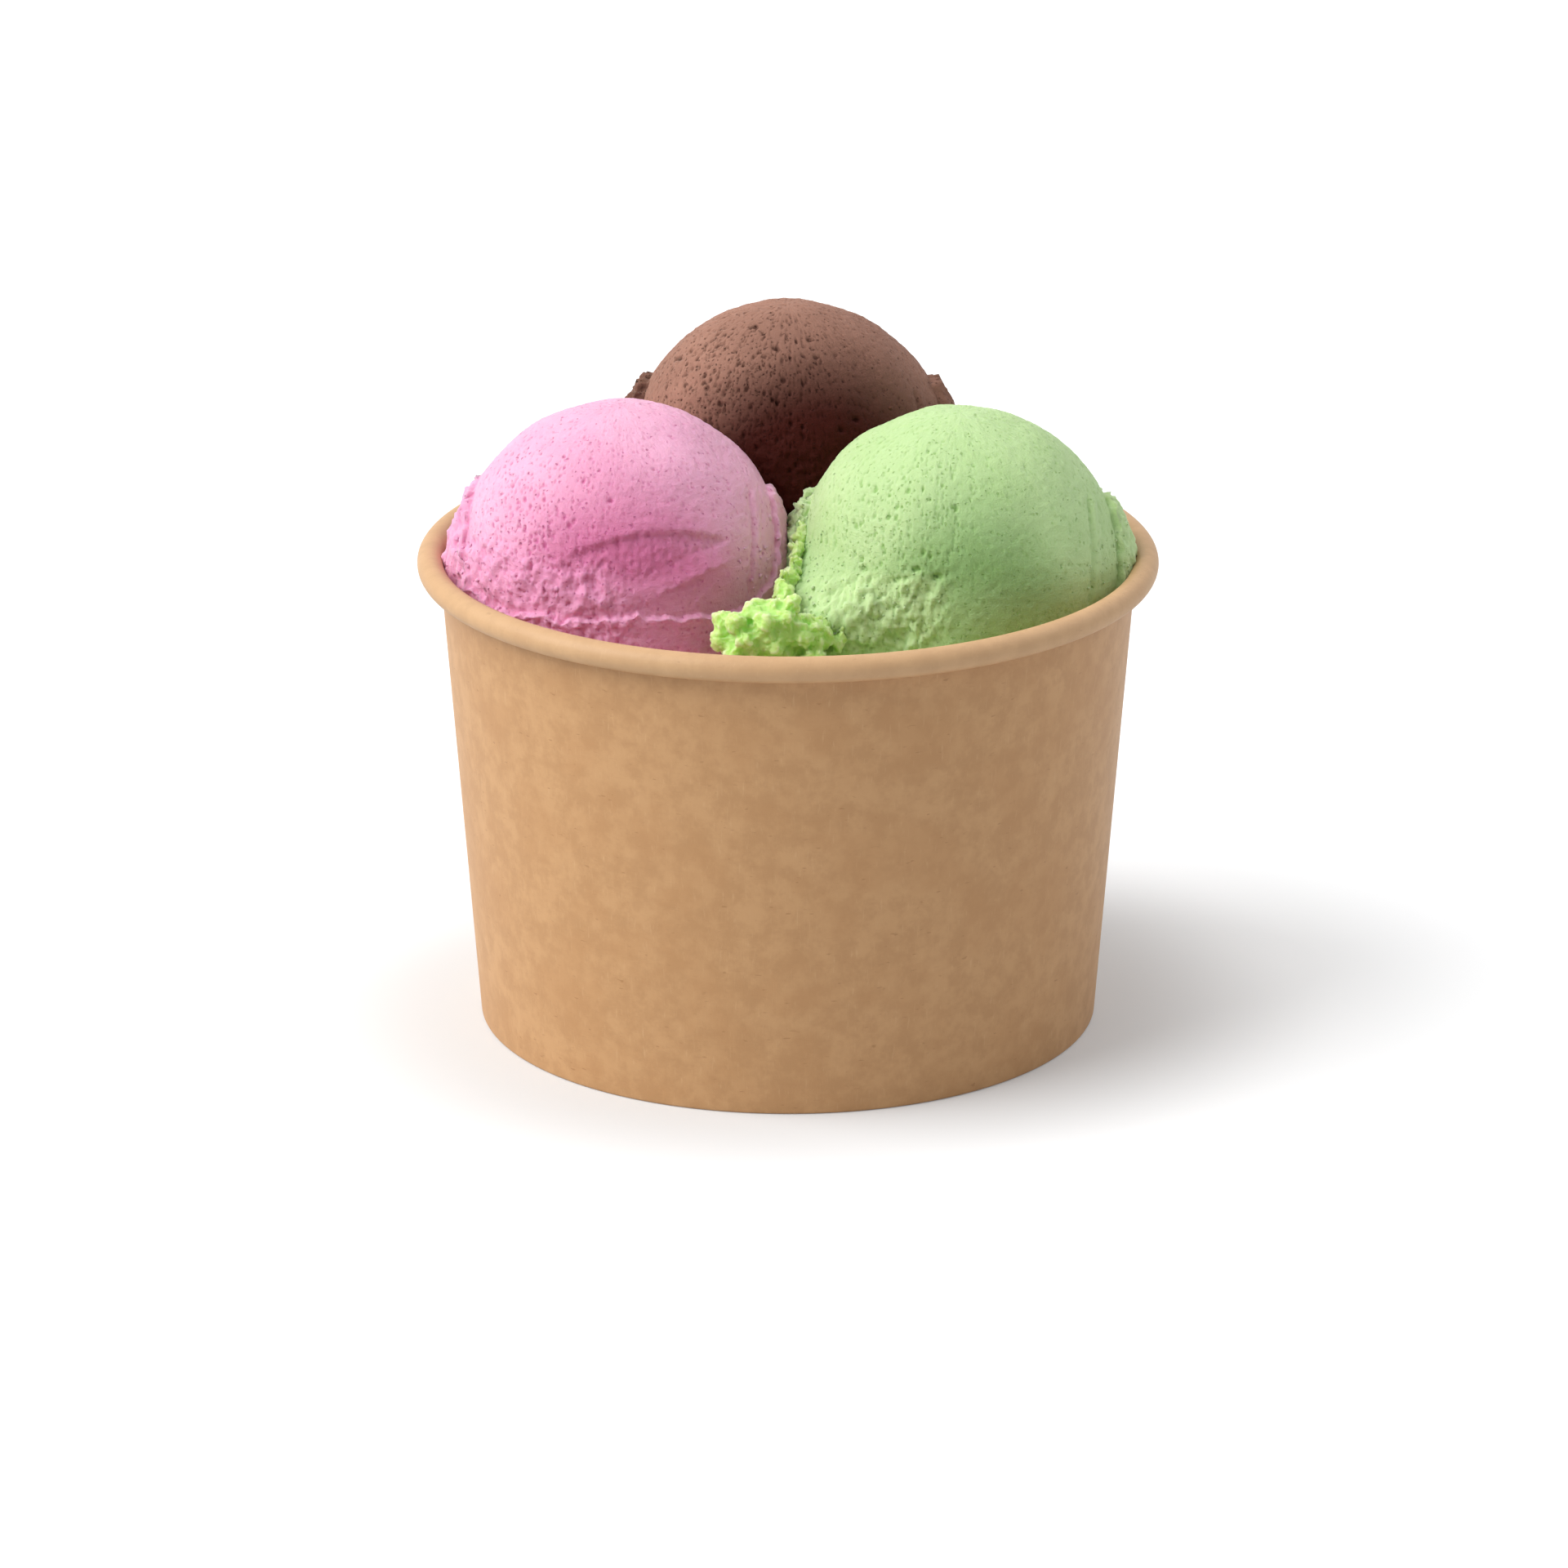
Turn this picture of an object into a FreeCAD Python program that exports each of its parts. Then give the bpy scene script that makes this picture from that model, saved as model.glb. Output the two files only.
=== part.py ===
import FreeCAD, Part
import math
import os

# A paper ice cream cup with three scoops.  Millimetres, +Z up.  The origin is on the table, on the
# cup's axis, and -Y is the front, where the two lower scoops sit side by side.

# ---- Cup: driving dimensions ----
rim_diameter = 95.0        # outside of the rolled rim
foot_diameter = 80.0       # outside of the sleeve where it stands
cup_height = 62.5          # table to the top of the roll
board = 0.45               # thickness of the kraft board
roll_diameter = 3.3        # outside of the rolled rim's tube
curl_angle = 305.0         # degrees the board turns inside the roll
hem_height = 5.6           # how far the sleeve's folded edge comes back up inside the base skirt
base_recess = 7.0          # table to the underside of the base disc
foot_corner = 0.4          # outside corner radius of the fold the cup stands on
seam_width = 7.0           # glued lap down the back of the sleeve
seam_step = 0.3            # how far that lap stands out

# ---- Ice cream: driving dimensions ----
scoop_radius = 21.0        # the disher's bowl
tall_scoop_radius = 21.3   # the fuller scoop at the back
front_sink = 1.3           # how far the front scoops' centres lie under the rim's top
front_offset = 3.0         # how far the front scoops' centres lie in front of the cup's axis
right_drop = 1.0           # how much deeper the pistachio scoop was pressed than the strawberry one
back_lift = 4.7            # how far the back scoop's centre stands above the rim's top
fill_depth = 12.5          # rim's top down to the packed ice cream between the scoops
lip = 1.2                  # how far the torn skirt stands out of a scoop's dome
ledge_front = -0.6         # height of the skirt's upper edge over the scoop's centre: at the front,
ledge_side = 9.5           # at its sides,
ledge_back = 2.5           # and at the back
band_recess = 0.4          # how far the band under the front ledge lies inside the dome
scrape_depth = 0.9         # flat left by the spade on the strawberry scoop,
scrape_turn = 282.0        # its direction round the scoop,
scrape_tilt = 76.0         # its angle down from straight up,
scrape_spread = 26.0       # and its half width
scrape_rise = 13.0         # and half height
foot_reach = 13.0          # crumbled foot that the pistachio scoop pushes out at the front,
foot_turn = 219.0          # its direction round the scoop, in degrees from +X,
foot_tilt = 96.0           # its angle down from straight up,
foot_spread = 17.0         # and its half width
foot_rise = 13.0           # and half height, as angles seen from the scoop's centre
lump = 0.25                # height of the lumps on torn ice cream
lump_size = 5.5            # distance between those lumps

# ---- Clearances ----
board_gap = 0.1            # between glued layers of board
ice_gap = 0.2              # between ice cream and the cup
scoop_gap = 0.3            # between one scoop and the next

# ---- Faceting of the ice cream ----
turns = 64                 # columns round a scoop
side_rows = 3              # rows up the packed part
band_rows = 5              # rows from the packed part up to the skirt's edge
dome_rows = 11             # rows from the skirt's edge to the top
march_step = 0.5           # step along a ray while it looks for what stops it
march_halvings = 5         # times that step is halved to find where it stops

# ---- Worked out from the sizes above ----
rim_radius = rim_diameter / 2
foot_radius = foot_diameter / 2
roll_radius = roll_diameter / 2
roll_centre = (rim_radius - roll_radius, cup_height - roll_radius)
rim_inner_radius = rim_radius - roll_diameter
base_top = base_recess + board
fill_level = cup_height - fill_depth


def wall_lean():
    """Angle of the sleeve, whose outer face starts at the foot and is tangent to the roll's inside."""
    outward = roll_centre[0] - foot_radius
    upward = roll_centre[1]
    reach = math.hypot(outward, upward)
    return math.atan2(outward, upward) - math.asin((roll_radius - board) / reach)


lean = wall_lean()


def wall_at(offset, height):
    """Radius at a height of the line that lies offset outside the sleeve's outer face."""
    return foot_radius + height * math.tan(lean) + offset / math.cos(lean)


wall_inner = -board
skirt_outer = wall_inner - board_gap
skirt_inner = skirt_outer - board
hem_outer = skirt_inner - board_gap
hem_inner = hem_outer - board


def point(radius, height):
    return FreeCAD.Vector(radius, 0, height)


def rounded_edges(corners):
    """Edges of an open line through corners (radius, height, corner radius), with rounded corners."""
    edges = []
    last = point(*corners[0][:2])
    for before, here, after in zip(corners, corners[1:], corners[2:]):
        corner = point(*here[:2])
        back = (point(*before[:2]) - corner).normalize()
        ahead = (point(*after[:2]) - corner).normalize()
        half = math.acos(back * ahead) / 2
        cut = here[2] / math.tan(half)
        middle = (back + ahead).normalize()
        start = corner + back * cut
        end = corner + ahead * cut
        top = corner + middle * (here[2] / math.sin(half) - here[2])
        edges.append(Part.LineSegment(last, start).toShape())
        edges.append(Part.Arc(start, top, end).toShape())
        last = end
    edges.append(Part.LineSegment(last, point(*corners[-1][:2])).toShape())
    return edges


def revolved(edges, degrees=360.0):
    face = Part.Face(Part.Wire(edges))
    return face.revolve(FreeCAD.Vector(0, 0, 0), FreeCAD.Vector(0, 0, 1), degrees)


def roll_point(radius, degrees):
    """Point of the roll's section, turned outwards over the top from where the sleeve runs into it."""
    angle = math.pi - lean - math.radians(degrees)
    return point(roll_centre[0] + radius * math.cos(angle), roll_centre[1] + radius * math.sin(angle))


def sleeve():
    """Conical side wall, curled into the rim above and folded into a hem below."""
    inside = roll_radius - board
    start = roll_point(inside, 0)
    end = roll_point(roll_radius, 0)
    inner_corner = min(foot_corner, board / 3)
    outline = rounded_edges([
        (start.x, start.z, 0),
        (wall_at(0, 0), 0, foot_corner),
        (wall_at(hem_inner, 0), 0, foot_corner),
        (wall_at(hem_inner, hem_height), hem_height, inner_corner),
        (wall_at(hem_outer, hem_height), hem_height, inner_corner),
        (wall_at(hem_outer, board), board, board_gap),
        (wall_at(wall_inner, board), board, board_gap),
        (end.x, end.z, 0),
    ])
    half = curl_angle / 2
    curl = [
        Part.Arc(end, roll_point(roll_radius, half), roll_point(roll_radius, curl_angle)).toShape(),
        Part.LineSegment(roll_point(roll_radius, curl_angle), roll_point(inside, curl_angle)).toShape(),
        Part.Arc(roll_point(inside, curl_angle), roll_point(inside, half), start).toShape(),
    ]
    return revolved(outline + curl)


def side_seam():
    """Lap of the sleeve's glued seam: a strip of board down the back, up into the roll."""
    bottom = foot_corner
    top = roll_centre[1]
    buried = -board / 2
    corners = [
        (wall_at(buried, bottom), bottom),
        (wall_at(seam_step, bottom), bottom),
        (wall_at(seam_step, top), top),
        (wall_at(buried, top), top),
    ]
    strip = Part.makePolygon([point(*c) for c in corners + corners[:1]])
    width = math.degrees(seam_width / wall_at(0, cup_height / 2))
    seam = revolved(strip.Edges, width)
    seam.rotate(FreeCAD.Vector(0, 0, 0), FreeCAD.Vector(0, 0, 1), 90 - width / 2)
    return seam


def cup_base():
    """Base disc with its skirt turned down into the sleeve's fold."""
    skirt_foot = board + board_gap
    bend = min(board, base_top - base_recess)
    outline = rounded_edges([
        (0, base_top, 0),
        (wall_at(skirt_outer, base_top), base_top, bend),
        (wall_at(skirt_outer, skirt_foot), skirt_foot, board / 3),
        (wall_at(skirt_inner, skirt_foot), skirt_foot, board / 3),
        (wall_at(skirt_inner, base_recess), base_recess, board / 3),
        (0, base_recess, 0),
    ])
    axis = Part.LineSegment(point(0, base_recess), point(0, base_top)).toShape()
    return revolved(outline + [axis])


class Scoop:
    """One scoop: a dome out of a disher over its own third of the packed ice cream."""

    def __init__(self, x, y, z, radius, foot=0.0, scrape=0.0):
        self.x = x
        self.y = y
        self.z = z
        self.radius = radius
        self.foot = foot
        self.scrape = scrape
        self.walls = []        # upright planes (x, y, outward normal x, y) that bound its third
        self.neighbours = []   # scoops already there, which this one is pressed against


front_x = scoop_radius + scoop_gap
front_z = cup_height - front_sink
back_y = wall_at(wall_inner, fill_level) - tall_scoop_radius
strawberry = Scoop(-front_x, -front_offset, front_z, scoop_radius, scrape=scrape_depth)
pistachio = Scoop(front_x, -front_offset, front_z - right_drop, scoop_radius, foot=foot_reach)
chocolate = Scoop(0, back_y, cup_height + back_lift, tall_scoop_radius)


def divide(near, far, distance):
    """Bound two thirds by one upright plane, at a distance from near's axis towards far's."""
    gap_x = far.x - near.x
    gap_y = far.y - near.y
    apart = math.hypot(gap_x, gap_y)
    nx = gap_x / apart
    ny = gap_y / apart
    for scoop, sign in ((near, 1), (far, -1)):
        place = distance - sign * scoop_gap / 2
        scoop.walls.append((near.x + nx * place, near.y + ny * place, sign * nx, sign * ny))


divide(strawberry, pistachio, front_x)
divide(strawberry, chocolate, scoop_radius)
divide(pistachio, chocolate, scoop_radius)
pistachio.neighbours = [strawberry]
chocolate.neighbours = [strawberry, pistachio]


def cup_limit(height):
    """Largest radius that ice cream may have at a height: the sleeve's inner face, then the rim's."""
    if height < roll_centre[1]:
        return wall_at(wall_inner, height) - ice_gap
    return rim_inner_radius - ice_gap


def third_reach(scoop, turn, height):
    """Distance from the scoop's axis to the side of its third of the cup, in direction turn."""
    ex = math.cos(turn)
    ey = math.sin(turn)
    along = scoop.x * ex + scoop.y * ey
    radius = cup_limit(height)
    reach = -along + math.sqrt(along ** 2 + radius ** 2 - scoop.x ** 2 - scoop.y ** 2)
    for wx, wy, nx, ny in scoop.walls:
        slope = ex * nx + ey * ny
        if slope > 0:
            reach = min(reach, ((wx - scoop.x) * nx + (wy - scoop.y) * ny) / slope)
    return reach


def third_corners(scoop):
    """Directions from the scoop's axis to the upright corners of its third."""
    corners = []
    for wx, wy, nx, ny in scoop.walls:
        side = cup_limit(fill_level / 2)
        off = wx * nx + wy * ny
        half = math.sqrt(side ** 2 - off ** 2)
        for sign in (1, -1):
            corners.append((nx * off - sign * ny * half, ny * off + sign * nx * half))
    (ax, ay, anx, any_), (bx, by, bnx, bny) = scoop.walls
    cross = anx * bny - any_ * bnx
    a_off = ax * anx + ay * any_
    b_off = bx * bnx + by * bny
    corners.append(((a_off * bny - b_off * any_) / cross, (b_off * anx - a_off * bnx) / cross))
    turns_found = []
    for x, y in corners:
        turn = math.atan2(y - scoop.y, x - scoop.x)
        distance = math.hypot(x - scoop.x, y - scoop.y)
        if abs(third_reach(scoop, turn, fill_level / 2) - distance) < 0.01 * distance:
            turns_found.append(turn % math.tau)
    return turns_found


def columns(scoop):
    """Directions round the scoop: evenly spaced, each corner taking the nearest one's place."""
    found = [math.tau * i / turns for i in range(turns)]
    for corner in third_corners(scoop):
        nearest = min(range(turns), key=lambda i: abs(math.remainder(found[i] - corner, math.tau)))
        found[nearest] = corner
    return sorted(found)


def torn(x, y, z):
    """Lumps of torn ice cream, from -1 to 1."""
    k = math.tau / lump_size
    a = math.sin(k * (x + 0.4 * y) + 1.3) * math.sin(k * (z - 0.3 * x) + 0.7)
    b = math.sin(1.7 * k * (y - 0.6 * z)) * math.sin(1.4 * k * (x + z) + 2.1)
    return 0.6 * a + 0.4 * b


def ledge_tilt(scoop, turn):
    """Angle from straight up to the skirt's upper edge, in direction turn."""
    middle = ledge_front if math.sin(turn) < 0 else ledge_back
    height = middle * math.sin(turn) ** 2 + ledge_side * math.cos(turn) ** 2
    height += 0.8 * math.sin(7 * turn + scoop.z) * math.sin(4 * turn)
    return math.acos(height / scoop.radius)


def skirt(turn, below):
    """Thickness of the torn skirt, at an angle below its upper edge."""
    side = math.cos(turn) ** 2
    ledge = math.exp(-(below / math.radians(6)) ** 2)
    front = (0.6 * lip + band_recess) * ledge - band_recess
    return lip * side + front * (1 - side)


def foot_bulge(scoop, turn, tilt):
    """Crumbled foot at the front, pushed out past the scoop beside it."""
    if not scoop.foot:
        return 0.0
    across = math.remainder(turn - math.radians(foot_turn), math.tau) / math.radians(foot_spread)
    up = (tilt - math.radians(foot_tilt)) / math.radians(foot_rise)
    return scoop.foot * math.exp(-across ** 4 - up ** 4) * (1 + 0.12 * math.sin(19 * turn))


def scraped(scoop, turn, tilt):
    """Shallow flat where the spade slid over the front of the dome."""
    if not scoop.scrape:
        return 0.0
    across = math.remainder(turn - math.radians(scrape_turn), math.tau) / math.radians(scrape_spread)
    up = (tilt - math.radians(scrape_tilt)) / math.radians(scrape_rise)
    return scoop.scrape * math.exp(-across ** 4 - up ** 4)


def blocked(scoop, x, y, z):
    """Whether a point lies in the cup's board, or in or right by a scoop that is already there."""
    if math.hypot(x, y) > cup_limit(z):
        return True
    for other in scoop.neighbours:
        apart = math.dist((x, y, z), (other.x, other.y, other.z))
        if apart < other.radius + lip + scoop_gap:
            return True
    outside = any((x - wx) * nx + (y - wy) * ny > 0 for wx, wy, nx, ny in scoop.walls)
    if not scoop.neighbours:
        return outside
    return outside and z < fill_level + 2 * lip


def surface_point(scoop, turn, tilt, wanted):
    """Point of the dome in a direction, as far out as wanted or as what it meets allows."""
    dx = math.cos(turn) * math.sin(tilt)
    dy = math.sin(turn) * math.sin(tilt)
    dz = math.cos(tilt)


    def at(distance):
        return scoop.x + dx * distance, scoop.y + dy * distance, scoop.z + dz * distance

    distance = 0.4 * scoop.radius
    while distance < wanted and not blocked(scoop, *at(min(distance + march_step, wanted))):
        distance = min(distance + march_step, wanted)
    step = march_step
    for _ in range(march_halvings):
        step /= 2
        if distance + step < wanted and not blocked(scoop, *at(distance + step)):
            distance += step
    return FreeCAD.Vector(*at(distance))


def packed_point(scoop, turn, distance, height):
    return FreeCAD.Vector(scoop.x + math.cos(turn) * distance, scoop.y + math.sin(turn) * distance, height)


def column_points(scoop, turn):
    """Points of one upright column of the scoop's skin, from the cup's base to just under the top."""
    bottom = base_top + ice_gap
    edge = third_reach(scoop, turn, fill_level)
    found = []
    for row in range(side_rows + 1):
        height = bottom + (fill_level - bottom) * row / side_rows
        found.append(packed_point(scoop, turn, third_reach(scoop, turn, height), height))
    neck_tilt = math.acos((fill_level + lip - scoop.z) / scoop.radius)
    neck = min(scoop.radius * math.sin(neck_tilt), 0.94 * edge)
    found.append(packed_point(scoop, turn, (edge + neck) / 2, fill_level + lip / 3))
    found.append(packed_point(scoop, turn, neck, fill_level + lip))
    ledge = ledge_tilt(scoop, turn)
    for row in range(1, band_rows + 1):
        tilt = neck_tilt + (ledge + math.radians(3) - neck_tilt) * row / band_rows
        wanted = scoop.radius + skirt(turn, tilt - ledge) + foot_bulge(scoop, turn, tilt)
        place = surface_point(scoop, turn, tilt, wanted)
        wanted += lump * torn(place.x, place.y, place.z)
        found.append(surface_point(scoop, turn, tilt, wanted - scraped(scoop, turn, tilt)))
    for row in range(dome_rows):
        tilt = ledge * (1 - row / dome_rows)
        wanted = scoop.radius + foot_bulge(scoop, turn, tilt) - scraped(scoop, turn, tilt)
        found.append(surface_point(scoop, turn, tilt, wanted))
    return found


def triangle(a, b, c):
    return Part.Face(Part.makePolygon([a, b, c, a]))


def scoop_solid(scoop):
    """Closed solid of one scoop, faceted between its columns."""
    skin = [column_points(scoop, turn) for turn in columns(scoop)]
    foot = FreeCAD.Vector(scoop.x, scoop.y, base_top + ice_gap)
    top = FreeCAD.Vector(scoop.x, scoop.y, scoop.z + scoop.radius)
    faces = []
    for left, right in zip(skin, skin[1:] + skin[:1]):
        faces.append(triangle(foot, right[0], left[0]))
        for low in range(len(left) - 1):
            faces.append(triangle(left[low], right[low], right[low + 1]))
            faces.append(triangle(left[low], right[low + 1], left[low + 1]))
        faces.append(triangle(left[-1], right[-1], top))
    return Part.Solid(Part.Shell(faces))


def main():
    nodes = {
        "cup_wall": sleeve().fuse(side_seam()),
        "cup_base": cup_base(),
        "scoop_strawberry": scoop_solid(strawberry),
        "scoop_pistachio": scoop_solid(pistachio),
        "scoop_chocolate": scoop_solid(chocolate),
    }
    os.makedirs("parts", exist_ok=True)
    for name, shape in nodes.items():
        shape.exportStep("parts/" + name + ".step")
        box = shape.BoundBox
        print(name, "valid", shape.isValid(), "solids", len(shape.Solids), "volume", round(shape.Volume, 1),
              "faces", len(shape.Faces),
              "box", [round(v, 2) for v in (box.XMin, box.XMax, box.YMin, box.YMax, box.ZMin, box.ZMax)])


main()
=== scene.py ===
import math

import bmesh
import bpy
import numpy as np
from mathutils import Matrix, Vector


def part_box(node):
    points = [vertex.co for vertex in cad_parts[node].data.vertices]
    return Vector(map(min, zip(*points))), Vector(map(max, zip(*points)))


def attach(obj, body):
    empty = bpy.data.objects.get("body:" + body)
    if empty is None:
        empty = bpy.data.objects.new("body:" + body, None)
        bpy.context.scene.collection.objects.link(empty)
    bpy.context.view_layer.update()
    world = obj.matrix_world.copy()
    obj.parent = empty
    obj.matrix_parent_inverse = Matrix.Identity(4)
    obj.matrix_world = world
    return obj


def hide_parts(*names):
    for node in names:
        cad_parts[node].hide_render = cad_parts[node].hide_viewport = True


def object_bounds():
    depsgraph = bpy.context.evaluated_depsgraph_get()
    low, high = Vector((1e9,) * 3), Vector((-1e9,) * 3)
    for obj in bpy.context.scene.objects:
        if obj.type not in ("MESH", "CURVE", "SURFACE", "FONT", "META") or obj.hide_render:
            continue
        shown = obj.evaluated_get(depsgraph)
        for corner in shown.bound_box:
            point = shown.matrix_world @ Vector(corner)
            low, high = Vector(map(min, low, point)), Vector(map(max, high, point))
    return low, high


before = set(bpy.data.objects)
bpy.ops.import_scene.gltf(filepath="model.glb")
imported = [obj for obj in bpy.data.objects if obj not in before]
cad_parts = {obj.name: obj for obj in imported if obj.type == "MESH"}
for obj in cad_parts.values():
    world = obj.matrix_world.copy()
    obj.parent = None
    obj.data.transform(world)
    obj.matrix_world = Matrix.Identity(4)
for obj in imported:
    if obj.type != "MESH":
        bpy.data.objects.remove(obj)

cad_low, cad_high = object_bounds()

MM = 0.001
TAU = math.tau

# ---- Sizes, in millimetres ----
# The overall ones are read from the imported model; the cup's others are those of the part's source.
cup_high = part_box("cup_wall")[1]
rim_radius = cup_high.x / MM    # outside of the rolled rim
cup_height = cup_high.z / MM    # table to the top of the roll
foot_radius = 40.0              # outside of the sleeve where it stands
board = 0.45                    # thickness of the kraft board
board_gap = 0.1                 # between glued layers of board
roll_radius = 1.65              # outside of the rolled rim's tube
curl_angle = 305.0              # degrees the board turns inside the roll
hem_height = 5.6                # folded edge inside the foot
foot_corner = 0.4               # outside corner radius of that fold
seam_width = 7.0                # glued lap down the back
seam_step = 0.3                 # how far the lap stands out
out_of_round = 0.12             # how far the sleeve strays from a true circle
base_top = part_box("cup_base")[1].z / MM
fill_level = cup_height - 12.5  # packed ice cream between the scoops
fillet = 1.5                    # how far it climbs up to a scoop
skin_gap = 0.03                 # kept between an ice cream skin and the board
bottom_gap = 0.1                # and between the packed ice cream and the base
lap = 0.25                      # how far a pressed scoop sinks into the one it leans on
lean_forward = math.radians(19.0)  # the scoops' features are laid out on axes tipped this far

roll_centre = (rim_radius - roll_radius, cup_height - roll_radius)


def wall_lean():
    """Angle from upright of the sleeve, which runs from the foot into the inside of the roll."""
    outward = roll_centre[0] - foot_radius
    upward = roll_centre[1]
    reach = math.hypot(outward, upward)
    return math.atan2(outward, upward) - math.asin((roll_radius - board) / reach)


lean = wall_lean()


def wall_at(offset, height):
    """Radius at a height of the line that lies offset outside the sleeve's outer face."""
    return foot_radius + height * math.tan(lean) + offset / math.cos(lean)


# ---- Small helpers ----
def colour(hex_code):
    """Linear colour of an sRGB hex value."""
    parts = [int(hex_code[i:i + 2], 16) / 255 for i in (1, 3, 5)]
    linear = [p / 12.92 if p <= 0.04045 else ((p + 0.055) / 1.055) ** 2.4 for p in parts]
    return (*linear, 1.0)


def in_scene(name, data):
    """Object of a mesh, lamp or camera, linked to the scene."""
    made = bpy.data.objects.new(name, data)
    bpy.context.scene.collection.objects.link(made)
    return made


def set_numbers(mesh, name, values):
    """Store a number on each point of a mesh."""
    layer = mesh.attributes.new(name, "FLOAT", "POINT")
    layer.data.foreach_set("value", np.asarray(values, dtype=np.float32).ravel())


def mesh_object(name, points, faces=(), edges=(), attributes=None):
    """Object from points in millimetres, with float attributes on its points."""
    mesh = bpy.data.meshes.new(name)
    mesh.from_pydata([tuple(p) for p in np.asarray(points) * MM], list(edges), list(faces))
    for label, values in (attributes or {}).items():
        set_numbers(mesh, label, values)
    return in_scene(name, mesh)


def grown(made, tree, values):
    """Run a geometry node tree on an object and keep the result as its plain mesh."""
    modifier = made.modifiers.new(tree.name, "NODES")
    modifier.node_group = tree
    for item in tree.interface.items_tree:
        if item.in_out == "INPUT" and item.name in values:
            modifier[item.identifier] = values[item.name]
    depsgraph = bpy.context.evaluated_depsgraph_get()
    mesh = bpy.data.meshes.new_from_object(made.evaluated_get(depsgraph))
    made.modifiers.remove(modifier)
    made.data = mesh
    mesh.name = made.name
    return made


def outward(made):
    """Merge doubles and turn every face outwards."""
    work = bmesh.new()
    work.from_mesh(made.data)
    bmesh.ops.remove_doubles(work, verts=work.verts, dist=0.5e-6)
    bmesh.ops.recalc_face_normals(work, faces=work.faces)
    work.to_mesh(made.data)
    work.free()
    return made


def smooth(made):
    """Shade a mesh smooth."""
    made.data.polygons.foreach_set("use_smooth", [True] * len(made.data.polygons))
    return made


def waves(points, size, seed, count=14):
    """Smooth unevenness from about -1 to 1 with features of the given size, the same each run."""
    draw = np.random.default_rng(seed)
    turn = draw.normal(size=(count, 3))
    turn /= np.linalg.norm(turn, axis=1)[:, None]
    stretch = draw.uniform(0.7, 1.4, count)
    phase = draw.uniform(0, TAU, count)
    angle = np.tensordot(points, (turn * stretch[:, None]).T, axes=([-1], [0])) * TAU / size + phase
    return np.sin(angle).sum(-1) / math.sqrt(count)


def step(low, high, value):
    """Smooth step from 0 at low to 1 at high."""
    t = np.clip((value - low) / (high - low), 0, 1)
    return t * t * (3 - 2 * t)


def spot(a, b, at_a, at_b, size_a, size_b, power=2):
    """Soft round mask round a place on a scoop's face."""
    return np.exp(-np.abs((a - at_a) / size_a) ** power - np.abs((b - at_b) / size_b) ** power)


# ---- Nodes ----
def add(tree, kind, links=None, **settings):
    """Add a node with its settings; links gives each input, by name or place, a value or a socket."""
    node = tree.nodes.new(kind)
    for name, value in settings.items():
        setattr(node, name, value)
    for place, value in (links or {}).items():
        if isinstance(value, bpy.types.NodeSocket):
            tree.links.new(value, node.inputs[place])
        else:
            node.inputs[place].default_value = value
    return node


def bare_tree(owner):
    """Node tree of a material or world, emptied."""
    owner.use_nodes = True
    owner.node_tree.nodes.clear()
    return owner.node_tree


def calc(tree, operation, *values):
    """One maths node on numbers or sockets."""
    return add(tree, "ShaderNodeMath", dict(enumerate(values)), operation=operation).outputs[0]


def vector(tree, operation, *values):
    """One vector maths node on vectors or sockets."""
    return add(tree, "ShaderNodeVectorMath", dict(enumerate(values)), operation=operation).outputs[0]


def scaled(tree, value, factor):
    """A vector times a number or socket."""
    return add(tree, "ShaderNodeVectorMath", {0: value, "Scale": factor}, operation="SCALE").outputs[0]


def ramp(tree, value, low, high, to_low=0.0, to_high=1.0):
    """Value taken smoothly from one range to another."""
    links = {"Value": value, 1: low, 2: high, 3: to_low, 4: to_high}
    return add(tree, "ShaderNodeMapRange", links, interpolation_type="SMOOTHSTEP").outputs[0]


def noise(tree, place, size, detail, roughness, stretch=(1, 1, 1)):
    """Noise with features of a size in millimetres, drawn out along the axes by stretch."""
    squeezed = vector(tree, "MULTIPLY", place, tuple(1 / s for s in stretch))
    return add(tree, "ShaderNodeTexNoise", {
        "Vector": squeezed, "Scale": 1 / size, "Detail": detail, "Roughness": roughness}).outputs["Fac"]


def bent(tree, place, scale, amount):
    """Places pushed about by a coloured noise, so that the cells laid out on them look natural."""
    pushes = add(tree, "ShaderNodeTexNoise", {"Vector": place, "Scale": scale, "Detail": 2.0})
    return vector(tree, "MULTIPLY_ADD", pushes.outputs["Color"], (amount,) * 3, place)


def cells(tree, place, scale):
    """Cell pattern: distance from the nearest cell's centre, and two random numbers of that cell."""
    pattern = add(tree, "ShaderNodeTexVoronoi", {"Vector": place, "Scale": scale})
    drawn = add(tree, "ShaderNodeSeparateXYZ", {0: pattern.outputs["Color"]})
    return pattern.outputs["Distance"], drawn.outputs["X"], drawn.outputs["Y"]


# ---- Materials ----
def new_material(name):
    """Empty material with its Principled shader and object coordinates in millimetres."""
    material = bpy.data.materials.new(name)
    tree = bare_tree(material)
    shader = add(tree, "ShaderNodeBsdfPrincipled")
    add(tree, "ShaderNodeOutputMaterial", {"Surface": shader.outputs["BSDF"]})
    place = add(tree, "ShaderNodeTexCoord").outputs["Object"]
    return material, tree, shader, scaled(tree, place, 1 / MM)


def mixed(tree, factor, first, second):
    """Colour mixed from two, each a colour or a socket."""
    return add(tree, "ShaderNodeMix", {0: factor, 6: first, 7: second}, data_type="RGBA").outputs[2]


def painted(tree, base, layers):
    """Colours laid over a base: each layer (mask, low, high, share, hex) comes on as its mask goes
    from low to high, up to its share."""
    for mask, low, high, share, hex_code in layers:
        base = mixed(tree, ramp(tree, mask, low, high, 0, share), base, colour(hex_code))
    return base


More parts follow.
